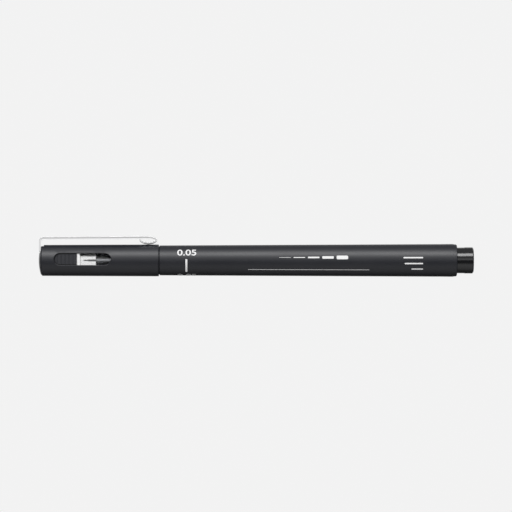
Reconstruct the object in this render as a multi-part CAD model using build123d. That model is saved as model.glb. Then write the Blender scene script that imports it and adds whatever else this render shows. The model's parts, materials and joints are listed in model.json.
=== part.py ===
from build123d import *
from math import hypot
import os

# Capped fineliner pen: a tapered barrel with a fibre ink reservoir and a fine metal-sleeved nib,
# and a push-on cap with a see-through nib window, ribbed thumb pads and a sprung pocket clip.
# Lengths are in millimetres. The pen lies along X, cap towards -X, clip straight up (+Z).

# Barrel
barrel_body_length = 95.75
barrel_front_diameter = 9.66
barrel_rear_diameter = 10.55
barrel_lead_in_length = 1.45
barrel_lead_in_drop = 0.16
barrel_end_break = 0.22
rim_land_step = 0.30
shoulder_break = 0.15
neck_length = 7.60
neck_diameter = 8.34
neck_break = 0.25
neck_draft = 0.03
neck_bore_diameter = 6.00
neck_bore_length = 13.00
bay_diameter = 7.50
air_rib_count = 4
air_rib_height = 0.30
air_rib_width = 0.80

# Snap bead, a ridge on the neck where the cap closes and a band on the tail where it is posted
bead_height = 0.07
bead_ramp = 0.20
neck_bead_length = 1.20
neck_bead_setback = 2.40

# Tail plug
tail_stub_length = 5.33
tail_neck_length = 2.40
tail_end_break = 0.32
tail_wall = 1.30
plug_shank_length = 7.00
plug_shank_wall = 0.90
plug_ring_height = 0.10
plug_ring_length = 0.80
plug_ring_setback = 2.20
plug_notch_count = 4
plug_notch_width = 1.40
plug_notch_depth = 1.60

# Nib holder, the black cone in front of the barrel
holder_flange_length = 0.80
holder_flange_diameter = 7.80
holder_flange_break = 0.20
seal_land_length = 2.20
seal_land_diameter = 6.60
nose_cone_length = 4.30
nose_tip_diameter = 4.10
nose_tip_break = 0.20
holder_shank_length = 9.00
holder_shank_break = 0.30

# Nib: metal sleeve, thin pipe, plastic point, and the wick that feeds them
sleeve_diameter = 3.30
sleeve_wall = 0.25
sleeve_end_wall = 0.40
sleeve_end_break = 0.14
sleeve_exposure = 5.60
sleeve_seat_depth = 3.00
pipe_diameter = 0.62
pipe_bore_diameter = 0.40
pipe_end_break = 0.05
pipe_exposure = 2.62
pipe_seat_depth = 1.80
point_diameter = 0.36
point_tip_diameter = 0.16
point_taper_length = 0.90
point_exposure = 1.64
wick_diameter = 1.40
wick_insert = 10.00

# Ink reservoir
film_thickness = 0.12

# Cap shell
cap_crown_diameter = 9.97
cap_rim_diameter = 10.26
cap_crown_break = 0.35
cap_rim_break = 0.12
cap_rim_gap = 0.25
cap_mouth_lead = 0.25
inner_bay_diameter = 8.00
plug_bore_diameter = 7.20
snap_groove_depth = 0.08
window_height = 3.80
window_length = 10.94
window_end_length = 2.40
window_edge_break = 0.18
pad_length = 7.30
pad_end_length = 1.90
pad_margin = 4.34
pad_depth = 0.75
pad_gap_width = 0.30
pad_gap_depth = 0.35
pad_groove_depth = 0.10
pad_groove_width = 0.60
pad_groove_pitch = 1.27
pad_groove_count = 5
pad_groove_margin = 1.00
clip_notch_length = 0.90
clip_notch_depth = 0.62
clip_notch_margin = 0.20

# Inner cap
inner_end_wall = 0.95
inner_flange_thickness = 0.70
inner_bore_diameter = 5.60
inner_tube_wall = 0.45
inner_flare_length = 1.20
nib_room = 0.77

# Crown
crown_height = 0.80
crown_edge_height = 0.15
crown_step = 0.55
crown_flat_height = 2.20
crown_shank_length = 4.20
crown_shank_wall = 0.90
crown_end_wall = 1.20

# Pocket clip
clip_width = 4.30
clip_thickness = 0.55
clip_air_gap = 1.95
clip_bend_round = 1.30
clip_foot_round = 0.70
clip_edge_break = 0.08
clip_tip_setback = 0.50
clip_tongue_length = 3.00
clip_tongue_width = 2.40
ball_length = 5.70

# Clearances
press_gap = 0.02
cap_fit = 0.05
seal_fit = 0.08
wick_fit = 0.10
film_fit = 0.08
ball_gap = 0.10
leg_gap = 0.07
tongue_gap = 0.12
overrun = 1.00
edge_shares = (0.1, 0.5, 0.9)

# Stations along the axis, counted from the crown's apex
shell_end_x = crown_height
pad_start_x = shell_end_x + pad_margin
inner_end_x = pad_start_x + pad_length
inner_floor_x = inner_end_x + inner_end_wall
window_end_x = inner_end_x + window_length
point_tip_x = inner_floor_x + nib_room
pipe_front_x = point_tip_x + point_exposure
sleeve_front_x = pipe_front_x + pipe_exposure
nose_tip_x = sleeve_front_x + sleeve_exposure
cone_base_x = nose_tip_x + nose_cone_length
land_rear_x = cone_base_x + seal_land_length
neck_front_x = land_rear_x + holder_flange_length
shoulder_x = neck_front_x + neck_length
cap_rim_x = shoulder_x - cap_rim_gap
barrel_end_x = shoulder_x + barrel_body_length
tail_end_x = barrel_end_x + tail_stub_length
bay_front_x = neck_front_x + neck_bore_length
plug_front_x = barrel_end_x - plug_shank_length
sleeve_rear_x = nose_tip_x + sleeve_seat_depth
pipe_rear_x = sleeve_front_x + pipe_seat_depth
wick_rear_x = bay_front_x + wick_insert
skirt_end_x = land_rear_x - press_gap
bead_rear_x = shoulder_x - neck_bead_setback
bead_peak_x = bead_rear_x - neck_bead_length / 2
bead_front_x = bead_rear_x - neck_bead_length

# Radii that more than one piece shares
barrel_front_radius = barrel_front_diameter / 2
barrel_rear_radius = barrel_rear_diameter / 2
neck_radius = neck_diameter / 2
bead_radius = neck_radius + bead_height
neck_bore_radius = neck_bore_diameter / 2
bay_radius = bay_diameter / 2
seal_land_radius = seal_land_diameter / 2
nose_tip_radius = nose_tip_diameter / 2
sleeve_radius = sleeve_diameter / 2
pipe_radius = pipe_diameter / 2
pipe_bore_radius = pipe_bore_diameter / 2
point_radius = point_diameter / 2
wick_radius = wick_diameter / 2
film_radius = bay_radius - air_rib_height - film_fit
core_radius = film_radius - film_thickness
cap_crown_radius = cap_crown_diameter / 2
cap_rim_radius = cap_rim_diameter / 2
mouth_radius = bead_radius + cap_fit
inner_bay_radius = inner_bay_diameter / 2
plug_bore_radius = plug_bore_diameter / 2
inner_bore_radius = inner_bore_diameter / 2
inner_tube_radius = inner_bore_radius + inner_tube_wall
skirt_bore_radius = seal_land_radius + seal_fit

# Clip places
ball_half_length = ball_length / 2
ball_radius = clip_width / 2
ball_x = cap_rim_x - clip_tip_setback - ball_half_length
clip_leg_x = shell_end_x - leg_gap
clip_foot_z = crown_flat_height + tongue_gap


def cap_radius_at(x):
    """Outer radius of the tapered cap shell at a station."""
    run_share = (x - shell_end_x) / (cap_rim_x - shell_end_x)
    return cap_crown_radius + run_share * (cap_rim_radius - cap_crown_radius)


ball_z = cap_radius_at(ball_x) + ball_gap + ball_radius
clip_top_at_ball = ball_z + clip_thickness / 2
clip_top_at_leg = cap_crown_radius + clip_air_gap + clip_thickness


def turned(*corners):
    """Solid of revolution about X from (x, radius, corner round) triples."""
    points = [(x, radius) for x, radius, corner_round in corners]
    rounds = [corner_round for x, radius, corner_round in corners]
    outline = FilletPolyline(*points, radius=rounds, close=True)
    return revolve(make_face(outline), Axis.X)


def block(x_from, x_to, width, z_from, z_to):
    """Box across the pen's middle plane between two stations and two heights."""
    middle = Pos((x_from + x_to) / 2, 0, (z_from + z_to) / 2)
    return middle * Box(x_to - x_from, width, z_to - z_from)


def barrel():
    """Tapered tube with a stepped neck, open at the tail, ribbed inside to keep an air way."""
    bead_root = neck_radius - neck_draft / 2
    ring_rear_x = barrel_end_x - plug_ring_setback
    ring_front_x = ring_rear_x - plug_ring_length
    groove_radius = bay_radius + plug_ring_height
    land_front_x = cap_rim_x + cap_fit
    rim_land_radius = barrel_front_radius - rim_land_step
    tube = turned(
        (neck_front_x, neck_bore_radius, 0),
        (neck_front_x, neck_radius - neck_draft - neck_break, 0),
        (neck_front_x + neck_break, neck_radius - neck_draft, 0),
        (bead_front_x, bead_root, 0),
        (bead_peak_x, bead_radius, 0),
        (bead_rear_x, bead_root, 0),
        (land_front_x, neck_radius, 0),
        (land_front_x, rim_land_radius, 0),
        (shoulder_x, rim_land_radius, 0),
        (shoulder_x, barrel_front_radius - shoulder_break, 0),
        (shoulder_x + shoulder_break, barrel_front_radius, 0),
        (barrel_end_x - barrel_lead_in_length, barrel_rear_radius, 0),
        (barrel_end_x - barrel_end_break, barrel_rear_radius - barrel_lead_in_drop, 0),
        (barrel_end_x, barrel_rear_radius - barrel_lead_in_drop - barrel_end_break, 0),
        (barrel_end_x, bay_radius, 0),
        (ring_rear_x, bay_radius, 0),
        (ring_rear_x, groove_radius, 0),
        (ring_front_x, groove_radius, 0),
        (ring_front_x, bay_radius, 0),
        (bay_front_x, bay_radius, 0),
        (bay_front_x, neck_bore_radius, 0),
    )
    rib_floor = bay_radius - air_rib_height
    rib_root = (bay_radius + barrel_front_radius) / 2
    rib = block(bay_front_x, plug_front_x - press_gap, air_rib_width, rib_floor, rib_root)
    for number in range(air_rib_count):
        tube += Rot(X=number * 360 / air_rib_count) * rib
    return tube


def tail_plug():
    """Glossy cup that closes the barrel, with a stub the cap can be posted on."""
    shank_radius = bay_radius - press_gap
    ring_radius = shank_radius + plug_ring_height
    ring_rear_x = barrel_end_x - plug_ring_setback - press_gap
    ring_front_x = ring_rear_x - plug_ring_length + 2 * press_gap
    hollow_radius = shank_radius - plug_shank_wall
    band_x = barrel_end_x + tail_neck_length
    plug = turned(
        (plug_front_x, hollow_radius, 0),
        (plug_front_x, shank_radius, 0),
        (ring_front_x, shank_radius, 0),
        (ring_front_x, ring_radius, 0),
        (ring_rear_x, ring_radius, 0),
        (ring_rear_x, shank_radius, 0),
        (barrel_end_x, shank_radius, 0),
        (barrel_end_x, neck_radius - neck_draft, 0),
        (band_x, neck_radius, 0),
        (band_x + bead_ramp, bead_radius, 0),
        (tail_end_x - tail_end_break, bead_radius, 0),
        (tail_end_x, bead_radius - tail_end_break, 0),
        (tail_end_x, 0, 0),
        (tail_end_x - tail_wall, 0, 0),
        (tail_end_x - tail_wall, hollow_radius, 0),
    )
    notch = block(plug_front_x - overrun, plug_front_x + plug_notch_depth, plug_notch_width,
                  0, bay_radius + overrun)
    for number in range(plug_notch_count):
        plug -= Rot(X=number * 360 / plug_notch_count) * notch
    return plug


def nib_holder():
    """Front cone: a seal land for the inner cap, a flange on the neck and a pressed-in shank."""
    shank_radius = neck_bore_radius - press_gap
    socket_radius = sleeve_radius + press_gap
    wick_bore = wick_radius + wick_fit
    flange_radius = holder_flange_diameter / 2
    shank_rear_x = neck_front_x + holder_shank_length
    return turned(
        (nose_tip_x, socket_radius, 0),
        (nose_tip_x, nose_tip_radius - nose_tip_break, 0),
        (nose_tip_x + nose_tip_break, nose_tip_radius, 0),
        (cone_base_x, seal_land_radius, 0),
        (land_rear_x, seal_land_radius, 0),
        (land_rear_x, flange_radius - holder_flange_break, 0),
        (land_rear_x + holder_flange_break, flange_radius, 0),
        (neck_front_x, flange_radius, 0),
        (neck_front_x, shank_radius, 0),
        (shank_rear_x - holder_shank_break, shank_radius, 0),
        (shank_rear_x, shank_radius - holder_shank_break, 0),
        (shank_rear_x, wick_bore, 0),
        (sleeve_rear_x, wick_bore, 0),
        (sleeve_rear_x, socket_radius, 0),
    )


def nib_sleeve():
    """Drawn metal sleeve with a closed front that holds the pipe."""
    hole_radius = pipe_radius + press_gap
    bore_radius = sleeve_radius - sleeve_wall
    return turned(
        (sleeve_front_x, hole_radius, 0),
        (sleeve_front_x, sleeve_radius - sleeve_end_break, 0),
        (sleeve_front_x + sleeve_end_break, sleeve_radius, 0),
        (sleeve_rear_x, sleeve_radius, 0),
        (sleeve_rear_x, bore_radius, 0),
        (sleeve_front_x + sleeve_end_wall, bore_radius, 0),
        (sleeve_front_x + sleeve_end_wall, hole_radius, 0),
    )


def nib_pipe():
    """Thin metal tube round the point."""
    return turned(
        (pipe_front_x, pipe_bore_radius, 0),
        (pipe_front_x, pipe_radius - pipe_end_break, 0),
        (pipe_front_x + pipe_end_break, pipe_radius, 0),
        (pipe_rear_x, pipe_radius, 0),
        (pipe_rear_x, pipe_bore_radius, 0),
    )


def nib_point():
    """Plastic writing point, tapered to the width of the line it draws."""
    tip_radius = point_tip_diameter / 2
    return turned(
        (point_tip_x, 0, 0),
        (point_tip_x, tip_radius, 0),
        (point_tip_x + point_taper_length, point_radius, 0),
        (pipe_rear_x, point_radius, 0),
        (pipe_rear_x, 0, 0),
    )


def feed_wick():
    """Fibre rod from the back of the point to the inside of the reservoir."""
    return turned(
        (pipe_rear_x, 0, 0),
        (pipe_rear_x, wick_radius, 0),
        (wick_rear_x, wick_radius, 0),
        (wick_rear_x, 0, 0),
    )


def ink_reservoir():
    """Fibre core between the front of the bay and the plug, with a pocket for the wick."""
    pocket_radius = wick_radius + press_gap
    return turned(
        (bay_front_x, pocket_radius, 0),
        (bay_front_x, core_radius, 0),
        (plug_front_x, core_radius, 0),
        (plug_front_x, 0, 0),
        (wick_rear_x, 0, 0),
        (wick_rear_x, pocket_radius, 0),
    )


def reservoir_film():
    """Film sleeve wrapped round the fibre core."""
    inside_radius = core_radius + press_gap
    return turned(
        (bay_front_x, inside_radius, 0),
        (bay_front_x, film_radius, 0),
        (plug_front_x, film_radius, 0),
        (plug_front_x, inside_radius, 0),
    )


def thumb_pad_core():
    """What stays in the slot's front: a flat pad on each side, grooved across, with a narrow gap round it."""
    floor_y = cap_crown_radius - pad_depth
    gap_floor_y = floor_y - pad_gap_depth
    pad_rear_x = inner_end_x - pad_gap_width
    pads = block(pad_start_x - overrun, pad_rear_x, 2 * floor_y, -cap_rim_radius, cap_rim_radius)
    pads &= slot_prism(pad_gap_width)
    for number in range(pad_groove_count):
        rear_x = inner_end_x - pad_groove_margin - number * pad_groove_pitch
        front_x = rear_x - pad_groove_width
        outline = Polyline(
            (front_x, cap_crown_radius),
            (front_x, floor_y),
            ((front_x + rear_x) / 2, floor_y - pad_groove_depth),
            (rear_x, floor_y),
            (rear_x, cap_crown_radius),
            close=True,
        )
        groove = extrude(make_face(outline), window_height, both=True)
        pads -= groove
        pads -= mirror(groove, about=Plane.XZ)
    return pads + block(pad_start_x - overrun, inner_end_x, 2 * gap_floor_y, -cap_rim_radius, cap_rim_radius)


def slot_prism(inset):
    """Long slot with half-oval ends right across the cap, drawn in by an inset all round."""
    half_height = window_height / 2 - inset
    front_middle = (pad_start_x + pad_end_length, 0)
    rear_middle = (window_end_x - window_end_length, 0)
    front = EllipticalCenterArc(front_middle, pad_end_length - inset, half_height, 90, arc_size=180)
    rear = EllipticalCenterArc(rear_middle, window_end_length - inset, half_height, 270, arc_size=180)
    bottom = Line(front @ 1, rear @ 0)
    top = Line(rear @ 1, front @ 0)
    outline = make_face([front, bottom, rear, top])
    return extrude(Plane.XZ * outline, cap_rim_radius + overrun, both=True)


def lies_on_cap_skin(edge):
    """True for an edge that follows the outside of the tapered cap shell."""
    places = [edge @ along_share for along_share in edge_shares]
    return all(hypot(at.Y, at.Z) > cap_radius_at(at.X) - press_gap for at in places)


def cap_shell():
    """Tapered cap tube with two see-through windows, two ribbed thumb pads and a clip notch."""
    groove_radius = mouth_radius + snap_groove_depth
    shell = turned(
        (shell_end_x, plug_bore_radius, 0),
        (shell_end_x, cap_crown_radius - cap_crown_break, 0),
        (shell_end_x + cap_crown_break, cap_crown_radius, 0),
        (cap_rim_x - cap_rim_break, cap_rim_radius, 0),
        (cap_rim_x, cap_rim_radius - cap_rim_break, 0),
        (cap_rim_x, mouth_radius + cap_mouth_lead, 0),
        (cap_rim_x - cap_mouth_lead, mouth_radius, 0),
        (bead_rear_x, mouth_radius, 0),
        (bead_peak_x, groove_radius, 0),
        (bead_front_x, mouth_radius, 0),
        (skirt_end_x, mouth_radius, 0),
        (skirt_end_x, inner_bay_radius, 0),
        (inner_end_x, inner_bay_radius, 0),
        (inner_end_x, plug_bore_radius, 0),
    )
    reach = cap_rim_radius + overrun
    slot = slot_prism(0)
    pad_zone = block(pad_start_x - overrun, inner_end_x, 2 * reach, -reach, reach)
    window_zone = block(inner_end_x, window_end_x + overrun, 2 * reach, -reach, reach)
    shell -= (slot & pad_zone) - thumb_pad_core()
    shell -= slot & window_zone
    slot_edges = shell.edges().filter_by_position(Axis.X, pad_start_x, window_end_x)
    shell = chamfer(slot_edges.filter_by(lies_on_cap_skin), window_edge_break)
    notch_floor = cap_crown_radius - clip_notch_depth
    shell -= block(shell_end_x - overrun, shell_end_x + clip_notch_length,
                   clip_width + 2 * clip_notch_margin, notch_floor, reach)
    return shell


def inner_cap():
    """Clear sealing cap: closed end in the window, thin tube round the nib, wider seal skirt."""
    flange_radius = inner_bay_radius - press_gap
    flare_x = nose_tip_x + inner_tube_wall
    outer_flare_x = flare_x - inner_tube_wall
    return turned(
        (inner_end_x, 0, 0),
        (inner_end_x, flange_radius, 0),
        (inner_end_x + inner_flange_thickness, flange_radius, 0),
        (inner_end_x + inner_flange_thickness, inner_tube_radius, 0),
        (outer_flare_x, inner_tube_radius, 0),
        (outer_flare_x + inner_flare_length, flange_radius, 0),
        (skirt_end_x, flange_radius, 0),
        (skirt_end_x, skirt_bore_radius, 0),
        (cone_base_x - inner_tube_wall, skirt_bore_radius, 0),
        (flare_x, inner_bore_radius, 0),
        (inner_floor_x, inner_bore_radius, 0),
        (inner_floor_x, 0, 0),
    )


def cap_crown():
    """Domed end plug, cut flat above for the clip's leg, with a keyway for the clip's tongue."""
    flange_radius = cap_crown_radius - crown_step
    shank_radius = plug_bore_radius - press_gap
    hollow_radius = shank_radius - crown_shank_wall
    shank_end_x = shell_end_x + crown_shank_length
    floor_x = shell_end_x + crown_end_wall
    dome = TangentArc((0, 0), (crown_height - crown_edge_height, flange_radius), tangent=(0, 1))
    outline = Polyline(
        dome @ 1,
        (shell_end_x, flange_radius),
        (shell_end_x, shank_radius),
        (shank_end_x, shank_radius),
        (shank_end_x, hollow_radius),
        (floor_x, hollow_radius),
        (floor_x, 0),
        (0, 0),
    )
    crown = revolve(make_face([dome, *outline.edges()]), Axis.X)
    reach = cap_crown_radius + overrun
    crown -= block(-overrun, shell_end_x, 2 * reach, crown_flat_height, reach)
    crown -= block(shell_end_x - overrun, shank_end_x + overrun,
                   clip_tongue_width + 2 * tongue_gap, crown_flat_height, reach)
    return crown


def pill(x_from, x_to, radius):
    """Round-ended bar along X."""
    front = CenterArc((x_from + radius, 0), radius, 90, 90)
    rear = CenterArc((x_to - radius, 0), radius, 0, 90)
    top = Line(front @ 0, rear @ 1)
    axis = Line(front @ 1, rear @ 0)
    return revolve(make_face([front, top, rear, axis]), Axis.X)


def pocket_clip():
    """Bent spring strip: tongue inside the crown, leg, long arm, and a pressed ball at the tip."""
    strip_leg_x = clip_leg_x - clip_thickness
    tongue_end_x = shell_end_x + clip_tongue_length
    tongue_top = clip_foot_z + clip_thickness
    side = FilletPolyline(
        (tongue_end_x, clip_foot_z),
        (strip_leg_x, clip_foot_z),
        (strip_leg_x, clip_top_at_leg),
        (ball_x, clip_top_at_ball),
        (ball_x, clip_top_at_ball - clip_thickness),
        (clip_leg_x, clip_top_at_leg - clip_thickness),
        (clip_leg_x, tongue_top),
        (tongue_end_x, tongue_top),
        radius=[0, clip_foot_round, clip_bend_round, 0, 0, clip_bend_round - clip_thickness,
                clip_foot_round - clip_thickness, 0],
        close=True,
    )
    strip = extrude(Plane.XZ * make_face(side), clip_width / 2, both=True)
    long_edges = strip.edges().filter_by(lambda edge: abs(edge.center().Y) > ball_radius - press_gap)
    strip = chamfer(long_edges.filter_by_position(Axis.X, 0, ball_x - press_gap), clip_edge_break)
    spare_width = clip_width - clip_tongue_width
    for hand in (-1, 1):
        spare = block(clip_leg_x, tongue_end_x + overrun, spare_width, 0, cap_crown_radius)
        strip -= Pos(0, hand * (clip_tongue_width + spare_width) / 2, 0) * spare
    ball_front_x = ball_x - ball_half_length
    ball_rear_x = ball_x + ball_half_length
    above = block(ball_x - ball_length, ball_x + ball_length, 2 * clip_width,
                  clip_top_at_ball, clip_top_at_ball + clip_width)
    raised = Pos(0, 0, ball_z)
    ball = raised * pill(ball_front_x, ball_rear_x, ball_radius) - above
    dimple = raised * pill(ball_front_x + clip_thickness, ball_rear_x - clip_thickness,
                           ball_radius - clip_thickness)
    return strip + ball - dimple


pieces = {
    "barrel": barrel,
    "tail_plug": tail_plug,
    "nib_holder": nib_holder,
    "nib_sleeve": nib_sleeve,
    "nib_pipe": nib_pipe,
    "nib_point": nib_point,
    "feed_wick": feed_wick,
    "ink_reservoir": ink_reservoir,
    "reservoir_film": reservoir_film,
    "cap_shell": cap_shell,
    "inner_cap": inner_cap,
    "cap_crown": cap_crown,
    "pocket_clip": pocket_clip,
}

# The pen rests on its widest ring, with the origin under the middle of its length
rest_place = Pos(-tail_end_x / 2, 0, barrel_rear_radius)

os.makedirs("parts", exist_ok=True)
for name, make_piece in pieces.items():
    export_step(rest_place * make_piece(), f"parts/{name}.step")
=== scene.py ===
import json
from math import atan2, cos, pi, radians, sin

import bpy
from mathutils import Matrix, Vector


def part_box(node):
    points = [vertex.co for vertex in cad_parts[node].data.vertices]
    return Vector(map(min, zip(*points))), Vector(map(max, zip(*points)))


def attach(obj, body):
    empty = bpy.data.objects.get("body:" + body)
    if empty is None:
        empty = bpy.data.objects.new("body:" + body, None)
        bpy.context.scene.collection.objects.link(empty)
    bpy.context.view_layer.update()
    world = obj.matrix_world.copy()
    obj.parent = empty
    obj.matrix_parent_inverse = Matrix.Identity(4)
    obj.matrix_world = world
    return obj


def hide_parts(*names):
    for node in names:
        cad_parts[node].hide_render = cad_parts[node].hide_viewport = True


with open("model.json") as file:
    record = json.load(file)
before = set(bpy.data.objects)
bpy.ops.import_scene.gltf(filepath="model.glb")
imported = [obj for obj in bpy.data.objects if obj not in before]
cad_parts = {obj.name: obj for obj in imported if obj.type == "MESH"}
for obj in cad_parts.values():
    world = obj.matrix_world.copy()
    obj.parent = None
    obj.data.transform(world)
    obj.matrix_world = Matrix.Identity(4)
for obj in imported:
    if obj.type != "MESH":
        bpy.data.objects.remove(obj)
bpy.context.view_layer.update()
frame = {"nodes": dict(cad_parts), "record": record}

# Lengths are in metres and angles in degrees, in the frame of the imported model:
# the pen lies along X with its cap towards -X, its clip straight up and its windows facing -Y and +Y.
MM = 0.001

fine_tolerance = 0.0005 * MM
quarter_turn = 90.0

# Photograph
image_pixels = 512
pen_left_pixel = 38.9
pen_right_pixel = 473.2
pen_axis_row_pixel = 260.4
view_distance = 1.10
view_elevation = -4.9
# The camera sees from this many times nearer than the pen to this many times further
view_depth_ratio = 100.0

# Studio
softbox_elevation = 46.5
softbox_distance = 0.80
softbox_height = 0.34
softbox_width = 1.30
softbox_watts = 7.1
floor_size = 6.0
floor_drop = 0.02 * MM
backdrop_shade = 0.89
ambient_shade = 0.27
# Elevations from the front, up over the top to the back and below zero under the pen,
# each with the shade that reflections show there
studio_shades = [(-180, 0.95), (-168, 0.95), (-155, 0.05), (-115, 0.08), (-80, 0.39), (-50, 0.53),
                 (-38, 0.43), (-29, 0.08), (-6, 0.05), (2, 0.80), (9, 0.85), (15, 0.30),
                 (80, 0.30), (96, 0.30), (110, 0.22), (124, 0.20), (140, 0.60), (160, 0.95), (180, 0.95)]
# Sideways shares of a direction at which the studio begins and ends to dim,
# and the share of its shade that is left there
side_start_share = 0.55
side_end_share = 0.85
side_left_share = 0.30

# Finishes
noise_low_share = 0.3
noise_high_share = 0.7
plastic_smudge_scale = 90.0
plastic_grain_depth = 0.02 * MM
metal_line_depth = 0.004 * MM
fibre_strand_depth = 0.03 * MM

# Printed marks on the barrel, with stations counted from the cap's crown
number_text = "0.05"
number_station = 47.75 * MM
number_length = 6.12 * MM
number_height = 2.20 * MM
number_elevations = [27.0, -82.0]
number_weight_share = 0.012
tick_station = 47.63 * MM
tick_width = 0.62 * MM
tick_length = 4.40 * MM
tick_elevation = -27.0
tick_corner_share = 0.2
sample_station = 88.50 * MM
sample_pitch = 4.60 * MM
sample_length = 3.70 * MM
sample_elevation = 6.0
sample_widths = [0.10 * MM, 0.25 * MM, 0.50 * MM, 0.80 * MM, 1.20 * MM]
stroke_corner_share = 0.3
hairline_station = 86.90 * MM
hairline_length = 39.0 * MM
hairline_width = 0.16 * MM
hairline_elevation = -41.0
# Three plain strokes near the tail that end in line: where they end, and each one's length and elevation
note_end_station = 123.60 * MM
note_width = 0.45 * MM
note_strokes = [(6.30 * MM, 5.0), (5.90 * MM, -16.0), (3.70 * MM, -37.0)]
ink_thickness = 0.012 * MM
ink_lift = 0.004 * MM
wrap_pitch = 0.20 * MM
drawing_height = 3.0 * MM
print_smooth_angle = 30.0

# Pocket clip
clip_thickness = 0.55 * MM
clip_outer_round = 0.08 * MM
clip_inner_round = 0.05 * MM
clip_bend_round = 1.30 * MM
clip_foot_round = 0.70 * MM
clip_arm_rise = 0.157 * MM
clip_tongue_reach = 3.62 * MM
clip_tongue_width = 2.40 * MM
# The tip's oval, and the turns about its middle at which the strip's free end and its arm are
curl_length = 5.70 * MM
curl_height = 2.49 * MM
curl_start = 165.0
curl_end = 450.0
curl_steps = 64
clip_smooth_angle = 40.0
bend_steps = 10
round_steps = 4

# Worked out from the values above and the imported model
curl_half_length = (curl_length - clip_thickness) / 2
curl_half_height = (curl_height - clip_thickness) / 2
pen_low_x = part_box("cap_crown")[0].x
barrel_low, barrel_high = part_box("barrel")
axis_z = (barrel_low.z + barrel_high.z) / 2
pen_axis = Vector((0, 0, axis_z))


def deselect_all():
    """Leaves nothing selected, so that an operator acts only on what is made next."""
    bpy.ops.object.select_all(action="DESELECT")


def direction_at(elevation):
    """Unit vector from the pen towards the front, at an elevation."""
    return Vector((0, -cos(radians(elevation)), sin(radians(elevation))))


# Shader helpers


def new_material(name):
    """An empty node material with a Principled shader, its node tree and that shader."""
    made = bpy.data.materials.new(name)
    made.use_nodes = True
    tree = made.node_tree
    shader = tree.nodes["Principled BSDF"]
    return made, tree, shader


def add_node(tree, kind, **values):
    """A node whose properties, or unlinked inputs, are set by name."""
    node = tree.nodes.new(kind)
    for name, value in values.items():
        socket = node.inputs.get(name.replace("_", " "))
        if socket is not None:
            socket.default_value = value
        else:
            setattr(node, name, value)
    return node


def build_grain_group():
    """Fine moulded grain: a height for bump and a tone that varies slightly over the surface."""
    group = bpy.data.node_groups.new("moulded_grain", "ShaderNodeTree")
    face = group.interface
    face.new_socket("Vector", in_out="INPUT", socket_type="NodeSocketVector")
    face.new_socket("Grain Scale", in_out="INPUT", socket_type="NodeSocketFloat")
    face.new_socket("Smudge Scale", in_out="INPUT", socket_type="NodeSocketFloat")
    face.new_socket("Height", in_out="OUTPUT", socket_type="NodeSocketFloat")
    face.new_socket("Smudge", in_out="OUTPUT", socket_type="NodeSocketFloat")
    entry = group.nodes.new("NodeGroupInput")
    leave = group.nodes.new("NodeGroupOutput")
    grain = add_node(group, "ShaderNodeTexNoise", Detail=3.0, Roughness=0.6)
    smudge = add_node(group, "ShaderNodeTexNoise", Detail=4.0, Roughness=0.55)
    links = group.links
    links.new(entry.outputs["Vector"], grain.inputs["Vector"])
    links.new(entry.outputs["Vector"], smudge.inputs["Vector"])
    links.new(entry.outputs["Grain Scale"], grain.inputs["Scale"])
    links.new(entry.outputs["Smudge Scale"], smudge.inputs["Scale"])
    links.new(grain.outputs["Fac"], leave.inputs["Height"])
    links.new(smudge.outputs["Fac"], leave.inputs["Smudge"])
    return group


grain_group = build_grain_group()


def place_grain(tree, grain_scale, smudge_scale):
    """The grain group in a material, on Object coordinates."""
    places = tree.nodes.new("ShaderNodeTexCoord")
    grain = tree.nodes.new("ShaderNodeGroup")
    grain.node_tree = grain_group
    grain.inputs["Grain Scale"].default_value = grain_scale
    grain.inputs["Smudge Scale"].default_value = smudge_scale
    tree.links.new(places.outputs["Object"], grain.inputs["Vector"])
    return grain


def spread(tree, source, low, high):
    """A value remapped so that the middle of a noise covers the range from low to high."""
    ranged = add_node(tree, "ShaderNodeMapRange", From_Min=noise_low_share, From_Max=noise_high_share,
                      To_Min=low, To_Max=high)
    tree.links.new(source, ranged.inputs["Value"])
    return ranged.outputs["Result"]


def two_tones(tree, source, dark, light):
    """A colour between two tones, led by a mask."""
    ramp = tree.nodes.new("ShaderNodeValToRGB")
    first, last = ramp.color_ramp.elements
    first.position = noise_low_share
    first.color = (*dark, 1)
    last.position = noise_high_share
    last.color = (*light, 1)
    tree.links.new(source, ramp.inputs["Fac"])
    return ramp.outputs["Color"]


def add_bump(tree, shader, height, strength, distance):
    """Bump from a height, feeding the shader's normal."""
    bump = add_node(tree, "ShaderNodeBump", Strength=strength, Distance=distance)
    tree.links.new(height, bump.inputs["Height"])
    tree.links.new(bump.outputs["Normal"], shader.inputs["Normal"])


# Materials


def plastic(name, dark, light, roughness, grain_scale, bump_strength, gloss):
    """Moulded plastic with a fine grain and slightly uneven gloss."""
    made, tree, shader = new_material(name)
    grain = place_grain(tree, grain_scale, plastic_smudge_scale)
    tree.links.new(two_tones(tree, grain.outputs["Smudge"], dark, light), shader.inputs["Base Color"])
    tree.links.new(spread(tree, grain.outputs["Smudge"], *roughness), shader.inputs["Roughness"])
    add_bump(tree, shader, grain.outputs["Height"], bump_strength, plastic_grain_depth)
    shader.inputs["Specular IOR Level"].default_value = gloss
    return made


def matte_black():
    """Black plastic with a fine even grain, for the barrel, cap and nib cone."""
    return plastic("matte_black_plastic", dark=(0.0085, 0.0095, 0.0150), light=(0.0105, 0.0115, 0.0175),
                   roughness=(0.42, 0.47), grain_scale=9000.0, bump_strength=0.10, gloss=0.73)


def gloss_black():
    """Polished black plastic, for the tail plug."""
    return plastic("gloss_black_plastic", dark=(0.0035, 0.0037, 0.0045), light=(0.0050, 0.0053, 0.0065),
                   roughness=(0.14, 0.18), grain_scale=4000.0, bump_strength=0.03, gloss=0.88)


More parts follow.
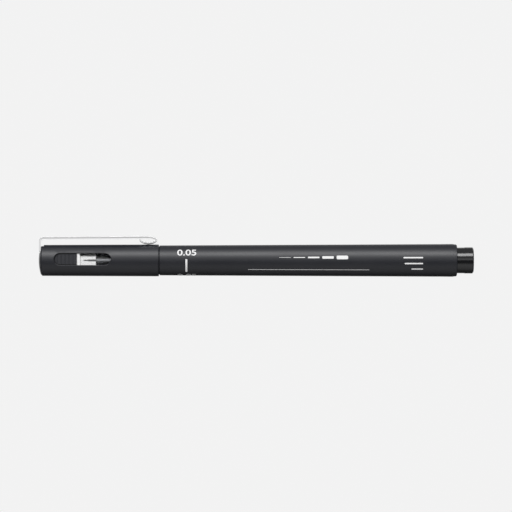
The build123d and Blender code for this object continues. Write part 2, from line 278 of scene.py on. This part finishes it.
def clear_plastic():
    """Clear moulded plastic with a slightly dull surface, for the inner cap."""
    made, tree, shader = new_material("clear_plastic")
    grain = place_grain(tree, grain_scale=500.0, smudge_scale=120.0)
    tone = two_tones(tree, grain.outputs["Smudge"], (0.980, 0.982, 0.982), (0.996, 0.996, 0.996))
    tree.links.new(tone, shader.inputs["Base Color"])
    tree.links.new(spread(tree, grain.outputs["Smudge"], 0.18, 0.24), shader.inputs["Roughness"])
    shader.inputs["Transmission Weight"].default_value = 1.0
    shader.inputs["IOR"].default_value = 1.49
    return made


def metal(name, dark, light, roughness, stretch, line_scale, bump_strength):
    """Metal with fine lines drawn out along one direction."""
    made, tree, shader = new_material(name)
    places = tree.nodes.new("ShaderNodeTexCoord")
    drawn_out = add_node(tree, "ShaderNodeMapping", Scale=stretch)
    lines = add_node(tree, "ShaderNodeTexNoise", Scale=line_scale, Detail=4.0, Roughness=0.6)
    tree.links.new(places.outputs["Object"], drawn_out.inputs["Vector"])
    tree.links.new(drawn_out.outputs["Vector"], lines.inputs["Vector"])
    tree.links.new(two_tones(tree, lines.outputs["Fac"], dark, light), shader.inputs["Base Color"])
    tree.links.new(spread(tree, lines.outputs["Fac"], *roughness), shader.inputs["Roughness"])
    add_bump(tree, shader, lines.outputs["Fac"], bump_strength, metal_line_depth)
    shader.inputs["Metallic"].default_value = 1.0
    return made


def bright_plating():
    """Bright plated sheet steel, for the pocket clip."""
    return metal("bright_plating", dark=(0.86, 0.86, 0.87), light=(0.92, 0.92, 0.925),
                 roughness=(0.05, 0.12), stretch=(0.12, 1.0, 1.0), line_scale=3500.0, bump_strength=0.01)


def drawn_steel():
    """Stainless tube with faint drawing lines, for the nib's sleeve and pipe."""
    return metal("drawn_steel", dark=(0.74, 0.76, 0.80), light=(0.82, 0.84, 0.88),
                 roughness=(0.32, 0.38), stretch=(0.05, 1.0, 1.0), line_scale=6000.0, bump_strength=0.04)


def fibre(name, dark, light, stretch, strand_scale, bump_strength):
    """Bonded fibre with strands along the pen."""
    made, tree, shader = new_material(name)
    places = tree.nodes.new("ShaderNodeTexCoord")
    drawn_out = add_node(tree, "ShaderNodeMapping", Scale=stretch)
    strands = add_node(tree, "ShaderNodeTexNoise", Scale=strand_scale, Detail=5.0, Roughness=0.7)
    tree.links.new(places.outputs["Object"], drawn_out.inputs["Vector"])
    tree.links.new(drawn_out.outputs["Vector"], strands.inputs["Vector"])
    tree.links.new(two_tones(tree, strands.outputs["Fac"], dark, light), shader.inputs["Base Color"])
    tree.links.new(spread(tree, strands.outputs["Fac"], 0.75, 0.95), shader.inputs["Roughness"])
    add_bump(tree, shader, strands.outputs["Fac"], bump_strength, fibre_strand_depth)
    return made


def point_plastic():
    """Ink-dark plastic writing point."""
    return plastic("point_plastic", dark=(0.015, 0.015, 0.018), light=(0.03, 0.03, 0.034),
                   roughness=(0.35, 0.5), grain_scale=12000.0, bump_strength=0.1, gloss=0.4)


def wick_fibre():
    """Ink-soaked fibre rod."""
    return fibre("wick_fibre", dark=(0.02, 0.02, 0.024), light=(0.06, 0.06, 0.066),
                 stretch=(0.04, 1.0, 1.0), strand_scale=9000.0, bump_strength=0.6)


def ink_fibre():
    """Ink-soaked fibre core."""
    return fibre("ink_fibre", dark=(0.01, 0.01, 0.012), light=(0.035, 0.035, 0.04),
                 stretch=(0.03, 1.0, 1.0), strand_scale=5000.0, bump_strength=0.7)


def wrap_film():
    """Thin film wrapped round the fibre core."""
    return plastic("wrap_film", dark=(0.60, 0.62, 0.65), light=(0.70, 0.72, 0.74),
                   roughness=(0.22, 0.35), grain_scale=1500.0, bump_strength=0.1, gloss=0.5)


def white_print():
    """White printing ink, very slightly uneven."""
    return plastic("white_print", dark=(0.82, 0.82, 0.82), light=(0.88, 0.88, 0.88),
                   roughness=(0.5, 0.6), grain_scale=6000.0, bump_strength=0.15, gloss=0.4)


finishes = {
    "matte_black": matte_black(),
    "gloss_black": gloss_black(),
    "clear_plastic": clear_plastic(),
    "bright_metal": bright_plating(),
    "nib_metal": drawn_steel(),
    "point_plastic": point_plastic(),
    "wick_fibre": wick_fibre(),
    "ink_fibre": ink_fibre(),
    "wrap_film": wrap_film(),
}
print_ink = white_print()


def dress_solids():
    """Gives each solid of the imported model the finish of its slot."""
    for subpart in frame["record"]["subparts"]:
        node = frame["nodes"][subpart["node"]]
        node.data.materials.clear()
        node.data.materials.append(finishes[subpart["material_slot"]])


dress_solids()


# Modelling helpers


def activate(piece):
    """Makes one piece the only one that operators act on."""
    deselect_all()
    piece.select_set(True)
    bpy.context.view_layer.objects.active = piece


def edit_all(piece):
    """Opens a piece in edit mode with everything selected."""
    activate(piece)
    bpy.ops.object.mode_set(mode="EDIT")
    bpy.ops.mesh.select_all(action="SELECT")


def leave_edit():
    """Goes back to object mode."""
    bpy.ops.object.mode_set(mode="OBJECT")


def edit_corners(piece, chosen):
    """Opens a piece in edit mode with only those corners selected whose place passes a test."""
    edit_all(piece)
    bpy.ops.mesh.select_mode(type="VERT")
    bpy.ops.mesh.select_all(action="DESELECT")
    leave_edit()
    for corner in piece.data.vertices:
        corner.select = chosen(corner.co)
    bpy.ops.object.mode_set(mode="EDIT")


def settle(piece):
    """Applies a piece's place to its mesh, so that its object sits at the origin."""
    activate(piece)
    bpy.ops.object.transform_apply(location=True, rotation=True, scale=True)


def apply_modifier(piece, name, kind, **values):
    """Adds a modifier with its settings and applies it."""
    activate(piece)
    modifier = piece.modifiers.new(name, kind)
    for setting, value in values.items():
        setattr(modifier, setting, value)
    bpy.ops.object.modifier_apply(modifier=name)


def face_outwards(piece):
    """Merges doubled corners and turns all faces outwards."""
    edit_all(piece)
    bpy.ops.mesh.remove_doubles(threshold=fine_tolerance)
    bpy.ops.mesh.normals_make_consistent(inside=False)
    leave_edit()


def finish_piece(piece, material, body, smooth_angle):
    """Shades a piece, gives it its material and lets it ride on a body."""
    activate(piece)
    bpy.ops.object.shade_smooth_by_angle(angle=radians(smooth_angle))
    piece.data.materials.clear()
    piece.data.materials.append(material)
    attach(piece, body)


# Printed marks


def flat_number():
    """The line-width number as a flat drawing about the origin, at its length and height."""
    deselect_all()
    bpy.ops.object.text_add()
    drawing = bpy.context.object
    drawing.data.body = number_text
    drawing.data.offset = number_weight_share
    drawing.data.align_x = "CENTER"
    drawing.data.align_y = "CENTER"
    bpy.ops.object.convert(target="MESH")
    drawing = bpy.context.object
    low = [min(corner.co[way] for corner in drawing.data.vertices) for way in (0, 1)]
    high = [max(corner.co[way] for corner in drawing.data.vertices) for way in (0, 1)]
    edit_all(drawing)
    middle = [(one + two) / 2 for one, two in zip(low, high)]
    bpy.ops.transform.translate(value=(-middle[0], -middle[1], 0))
    spread_x = number_length / (high[0] - low[0])
    spread_y = number_height / (high[1] - low[1])
    bpy.ops.transform.resize(value=(spread_x, spread_y, 1), center_override=(0, 0, 0))
    leave_edit()
    return drawing


def flat_bar(length, width, corner_share):
    """A bar with rounded corners as a flat drawing about the origin."""
    deselect_all()
    bpy.ops.mesh.primitive_plane_add(size=1.0)
    drawing = bpy.context.object
    edit_all(drawing)
    bpy.ops.transform.resize(value=(length, width, 1), center_override=(0, 0, 0))
    bpy.ops.mesh.bevel(offset=corner_share * min(length, width), segments=round_steps, affect="VERTICES")
    leave_edit()
    return drawing


def print_on_barrel(drawing, name, station, elevation):
    """Carries a flat drawing to the barrel's skin at a station and an elevation, as a film of ink."""
    edit_all(drawing)
    reach = max(abs(corner.co.y) for corner in drawing.data.vertices)
    cuts = int(reach / wrap_pitch)
    for cut in range(-cuts, cuts + 1):
        bpy.ops.mesh.select_all(action="SELECT")
        bpy.ops.mesh.bisect(plane_co=(0, cut * wrap_pitch, 0), plane_no=(0, 1, 0), threshold=fine_tolerance)
    leave_edit()
    barrel_radius = (barrel_high.z - barrel_low.z) / 2
    drawing.name = name
    drawing.location = pen_axis + direction_at(elevation) * (barrel_radius + drawing_height)
    drawing.location.x = pen_low_x + station
    drawing.rotation_euler = (radians(quarter_turn - elevation), 0, 0)
    bpy.context.view_layer.update()
    apply_modifier(drawing, "wrap", "SHRINKWRAP", target=frame["nodes"]["barrel"], wrap_method="PROJECT",
                   use_project_z=True, use_negative_direction=True, use_positive_direction=False,
                   offset=ink_lift)
    apply_modifier(drawing, "ink", "SOLIDIFY", thickness=ink_thickness, offset=1.0)
    settle(drawing)
    finish_piece(drawing, print_ink, "pen", print_smooth_angle)


def print_marks():
    """Two numbers with a tick bar between, sample strokes, a hairline, and note strokes near the tail."""
    for place, elevation in enumerate(number_elevations):
        print_on_barrel(flat_number(), f"width_number_{place}", number_station, elevation)
    tick = flat_bar(tick_width, tick_length, tick_corner_share)
    print_on_barrel(tick, "width_tick", tick_station, tick_elevation)
    middle = (len(sample_widths) - 1) / 2
    for place, width in enumerate(sample_widths):
        station = sample_station + (place - middle) * sample_pitch
        stroke = flat_bar(sample_length, width, stroke_corner_share)
        print_on_barrel(stroke, f"sample_stroke_{place}", station, sample_elevation)
    hairline = flat_bar(hairline_length, hairline_width, stroke_corner_share)
    print_on_barrel(hairline, "sample_hairline", hairline_station, hairline_elevation)
    for place, (length, elevation) in enumerate(note_strokes):
        stroke = flat_bar(length, note_width, stroke_corner_share)
        print_on_barrel(stroke, f"note_stroke_{place}", note_end_station - length / 2, elevation)


print_marks()


# Pocket clip


def extrude_to(shift):
    """Draws the selected end of a bar out by a shift."""
    bpy.ops.mesh.extrude_region_move(TRANSFORM_OT_translate={"value": shift})


def bend_end(centre, angle, steps):
    """Draws the selected end of a bar round a centre, about Y, in equal steps."""
    for step in range(steps):
        extrude_to((0, 0, 0))
        bpy.ops.transform.rotate(value=radians(angle / steps), orient_axis="Y", center_override=centre)


def curl_point(centre, turn):
    """Place on the oval midline of the curled tip."""
    return centre + Vector((curl_half_length * cos(turn), 0, curl_half_height * sin(turn)))


def curl_heading(turn):
    """Angle, from +X up to +Z, at which the midline of the curled tip runs on."""
    return atan2(curl_half_height * cos(turn), -curl_half_length * sin(turn))


def strip_section(place, width):
    """Upright outline of the sprung strip, with its upper corners more rounded than its lower ones."""
    deselect_all()
    bpy.ops.mesh.primitive_plane_add(size=1.0, location=place, rotation=(0, pi / 2, 0))
    strip = bpy.context.object
    settle(strip)
    edit_all(strip)
    bpy.ops.transform.resize(value=(1, width, clip_thickness), center_override=place)
    leave_edit()
    edit_corners(strip, lambda corner: corner.z > place.z)
    bpy.ops.mesh.bevel(offset=clip_outer_round, segments=round_steps, affect="VERTICES")
    leave_edit()
    edit_corners(strip, lambda corner: corner.z < place.z - clip_thickness / 2 + fine_tolerance)
    bpy.ops.mesh.bevel(offset=clip_inner_round, segments=round_steps, affect="VERTICES")
    bpy.ops.mesh.select_all(action="SELECT")
    return strip


def draw_curl(centre, place):
    """Carries a strip's section to the free end of the curled tip, and draws it round to the arm."""
    pitch = (curl_end - curl_start) / curl_steps
    turns = [radians(curl_start + step * pitch) for step in range(curl_steps + 1)]
    # The section comes upright, facing -X
    bpy.ops.transform.rotate(value=curl_heading(turns[0]) - pi, orient_axis="Y", center_override=place)
    bpy.ops.transform.translate(value=curl_point(centre, turns[0]) - place)
    for before, after in zip(turns, turns[1:]):
        extrude_to(curl_point(centre, after) - curl_point(centre, before))
        turned = (curl_heading(after) - curl_heading(before)) % (2 * pi)
        bpy.ops.transform.rotate(value=turned, orient_axis="Y", center_override=curl_point(centre, after))


def draw_arm(low, high, arm_x):
    """Draws the strip on along the arm, round the bend, down the leg and round the foot to its tongue."""
    width = high.y - low.y
    leg_top = high.z - clip_arm_rise
    bend_x = low.x + clip_bend_round
    extrude_to((bend_x - arm_x, 0, -clip_arm_rise))
    bend_end((bend_x, 0, leg_top - clip_bend_round), quarter_turn, bend_steps)
    foot_x = low.x + clip_foot_round
    foot_z = low.z + clip_foot_round
    extrude_to((0, 0, foot_z - (leg_top - clip_bend_round)))
    bend_end((foot_x, 0, foot_z), quarter_turn / 2, bend_steps)
    extrude_to((0, 0, 0))
    bpy.ops.transform.resize(value=(1, clip_tongue_width / width, 1), center_override=(foot_x, 0, foot_z))
    bend_end((foot_x, 0, foot_z), quarter_turn / 2, bend_steps)
    extrude_to((low.x + clip_tongue_reach - foot_x, 0, 0))


def model_clip():
    """Bright pocket clip: one bent strip with rounded edges, whose tip curls under the arm."""
    low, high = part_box("pocket_clip")
    centre = Vector((high.x - curl_length / 2, 0, high.z - curl_height / 2))
    place = Vector((centre.x, 0, high.z - clip_thickness / 2))
    clip = strip_section(place, high.y - low.y)
    clip.name = "sprung_clip"
    draw_curl(centre, place)
    draw_arm(low, high, centre.x)
    leave_edit()
    face_outwards(clip)
    finish_piece(clip, finishes["bright_metal"], "clip", clip_smooth_angle)
    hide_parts("pocket_clip")


model_clip()


# Studio: floor, world, lamp and camera


def floor_paper():
    """Pale paper seen from above. From below it lets the view through."""
    made, tree, shader = new_material("floor_paper")
    grain = place_grain(tree, grain_scale=700.0, smudge_scale=6.0)
    tone = two_tones(tree, grain.outputs["Smudge"], (0.80, 0.80, 0.80), (0.83, 0.83, 0.83))
    tree.links.new(tone, shader.inputs["Base Color"])
    shader.inputs["Roughness"].default_value = 0.9
    shader.inputs["Specular IOR Level"].default_value = 0.1
    clear = tree.nodes.new("ShaderNodeBsdfTransparent")
    sides = tree.nodes.new("ShaderNodeNewGeometry")
    mixed = tree.nodes.new("ShaderNodeMixShader")
    out = tree.nodes["Material Output"]
    tree.links.new(sides.outputs["Backfacing"], mixed.inputs["Fac"])
    tree.links.new(shader.outputs["BSDF"], mixed.inputs[1])
    tree.links.new(clear.outputs["BSDF"], mixed.inputs[2])
    tree.links.new(mixed.outputs["Shader"], out.inputs["Surface"])
    return made


def add_floor():
    """A wide sheet of paper under the pen."""
    deselect_all()
    bpy.ops.mesh.primitive_plane_add(size=floor_size, location=(0, 0, -floor_drop))
    floor = bpy.context.object
    floor.name = "paper_floor"
    floor.data.materials.append(floor_paper())
    floor.visible_glossy = False
    floor.visible_transmission = False


def add_math(tree, operation, first, second):
    """The result of a math node on two values, each a socket or a number."""
    node = add_node(tree, "ShaderNodeMath", operation=operation)
    for socket, value in zip(node.inputs, (first, second)):
        if isinstance(value, float):
            socket.default_value = value
        else:
            tree.links.new(value, socket)
    return node.outputs["Value"]


def studio_shade(tree, parts):
    """Shade of the studio at a direction's elevation, counted from the front over the top to the back."""
    toward_front = add_math(tree, "MULTIPLY", parts.outputs["Y"], -1.0)
    elevation = add_math(tree, "ARCTAN2", parts.outputs["Z"], toward_front)
    turn = add_node(tree, "ShaderNodeMapRange", From_Min=-pi, From_Max=pi)
    tree.links.new(elevation, turn.inputs["Value"])
    studio = tree.nodes.new("ShaderNodeValToRGB")
    stops = studio.color_ramp.elements
    for place, (angle, shade) in enumerate(studio_shades):
        stop = stops[place] if place < len(stops) else stops.new(1.0)
        stop.position = (radians(angle) + pi) / (2 * pi)
        stop.color = (shade, shade, shade, 1)
    tree.links.new(turn.outputs["Result"], studio.inputs["Fac"])
    return studio.outputs["Color"]


def side_dimming(tree, parts):
    """Share of the studio's shade that is left at a direction, less towards the pen's two ends."""
    sideways = add_node(tree, "ShaderNodeMath", operation="ABSOLUTE")
    tree.links.new(parts.outputs["X"], sideways.inputs[0])
    left = add_node(tree, "ShaderNodeMapRange", From_Min=side_start_share, From_Max=side_end_share,
                    To_Min=1.0, To_Max=side_left_share)
    tree.links.new(sideways.outputs["Value"], left.inputs["Value"])
    return left.outputs["Result"]


def set_world():
    """Pale surroundings for the view, soft ambient light, and a studio that gloss and metal show."""
    world = bpy.data.worlds.new("pale_studio")
    bpy.context.scene.world = world
    world.use_nodes = True
    tree = world.node_tree
    background = tree.nodes["Background"]
    path = tree.nodes.new("ShaderNodeLightPath")
    plain = add_node(tree, "ShaderNodeMapRange", To_Min=ambient_shade, To_Max=backdrop_shade)
    tree.links.new(path.outputs["Is Camera Ray"], plain.inputs["Value"])
    shown = add_math(tree, "MAXIMUM", path.outputs["Is Glossy Ray"], path.outputs["Is Transmission Ray"])
    places = tree.nodes.new("ShaderNodeTexCoord")
    parts = tree.nodes.new("ShaderNodeSeparateXYZ")
    tree.links.new(places.outputs["Generated"], parts.inputs["Vector"])
    mirrored = add_math(tree, "MULTIPLY", studio_shade(tree, parts), side_dimming(tree, parts))
    shade = add_node(tree, "ShaderNodeMix", data_type="FLOAT")
    tree.links.new(shown, shade.inputs["Factor"])
    tree.links.new(plain.outputs["Result"], shade.inputs["A"])
    tree.links.new(mirrored, shade.inputs["B"])
    tree.links.new(shade.outputs["Result"], background.inputs["Strength"])
    background.inputs["Color"].default_value = (1, 1, 1, 1)


def add_lamp(name, elevation, distance, width, height, watts):
    """A rectangular soft lamp in front of the pen, turned towards it."""
    away = direction_at(elevation)
    deselect_all()
    bpy.ops.object.light_add(type="AREA", location=pen_axis + away * distance)
    lamp = bpy.context.object
    lamp.name = name
    lamp.rotation_mode = "QUATERNION"
    lamp.rotation_quaternion = away.to_track_quat("Z", "Y")
    lamp.data.shape = "RECTANGLE"
    lamp.data.size = width
    lamp.data.size_y = height
    lamp.data.energy = watts


def add_camera():
    """A long lens at the photograph's viewing angle, framed so that the pen has its width and row."""
    low, high = pen_low_x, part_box("tail_plug")[1].x
    pixel = (high - low) / (pen_right_pixel - pen_left_pixel)
    middle_pixel = image_pixels / 2
    toward = direction_at(view_elevation)
    turn = toward.to_track_quat("Z", "Y")
    right_shift = (middle_pixel - (pen_left_pixel + pen_right_pixel) / 2) * pixel
    up_shift = (pen_axis_row_pixel - middle_pixel) * pixel
    aim = pen_axis + turn @ Vector((right_shift, up_shift, 0))
    deselect_all()
    bpy.ops.object.camera_add(location=aim + toward * view_distance)
    camera = bpy.context.object
    camera.name = "long_lens"
    camera.rotation_mode = "QUATERNION"
    camera.rotation_quaternion = turn
    camera.data.sensor_fit = "HORIZONTAL"
    camera.data.lens = camera.data.sensor_width * view_distance / (image_pixels * pixel)
    camera.data.clip_start = view_distance / view_depth_ratio
    camera.data.clip_end = view_distance * view_depth_ratio
    bpy.context.scene.camera = camera


add_floor()
set_world()
add_lamp("softbox", softbox_elevation, softbox_distance, softbox_width, softbox_height, softbox_watts)
add_camera()

bpy.context.scene.view_settings.view_transform = "Standard"
